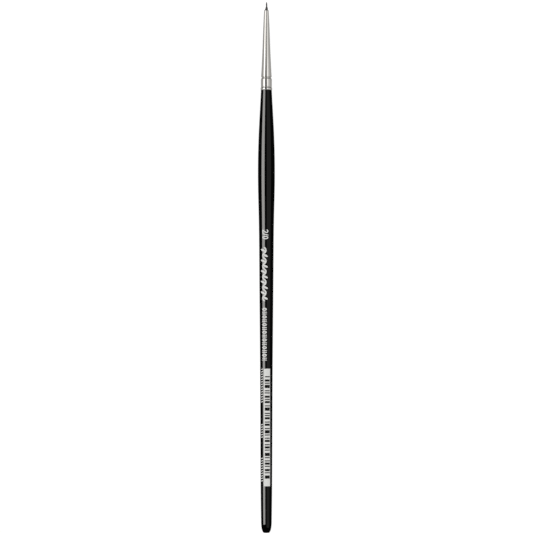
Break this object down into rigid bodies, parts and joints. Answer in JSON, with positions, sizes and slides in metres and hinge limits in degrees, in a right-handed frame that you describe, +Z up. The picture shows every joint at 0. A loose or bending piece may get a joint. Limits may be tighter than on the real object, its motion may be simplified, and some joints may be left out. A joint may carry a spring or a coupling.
{
  "type": "fine detail brush",
  "caption": "Slim round brush with a needle point for painting fine detail: black lacquered wooden handle, crimped nickel ferrule and a short springy tuft.",
  "frame": {"origin": "under the middle of the brush, on the surface that its belly rests on", "axes": "+X along the brush from the butt towards the tuft, +Z up, the printed side upwards"},
  "size_m": [0.17, 0.0054, 0.0054],
  "materials": {
    "handle_wood": "matte",
    "black_lacquer": "gloss",
    "plated_ferrule": "polished",
    "glue": "satin",
    "thread": "matte",
    "hair": "satin",
    "white_print": "satin"
  },
  "bodies": {
    "handle": {"handle_core": "handle_wood", "handle_lacquer": "black_lacquer", "ferrule": "plated_ferrule", "tenon_adhesive": "glue", "root_adhesive": "glue", "binding_thread": "thread", "hair_roots": "hair", "size_print": "white_print", "ornament_print": "white_print", "line_print": "white_print", "bar_print": "white_print", "side_print": "white_print"},
    "tuft": {"belly_hairs": "hair", "point_hairs": "hair"}
  },
  "joints": [
    {"name": "tuft_bend", "type": "hinge", "parent": "handle", "child": "tuft", "pos_m": [0.08252, 0, 0.0027], "axis": [0, 1, 0], "range_deg": [-45, 45], "stiffness_Nm_per_rad": 0.00002}
  ]
}
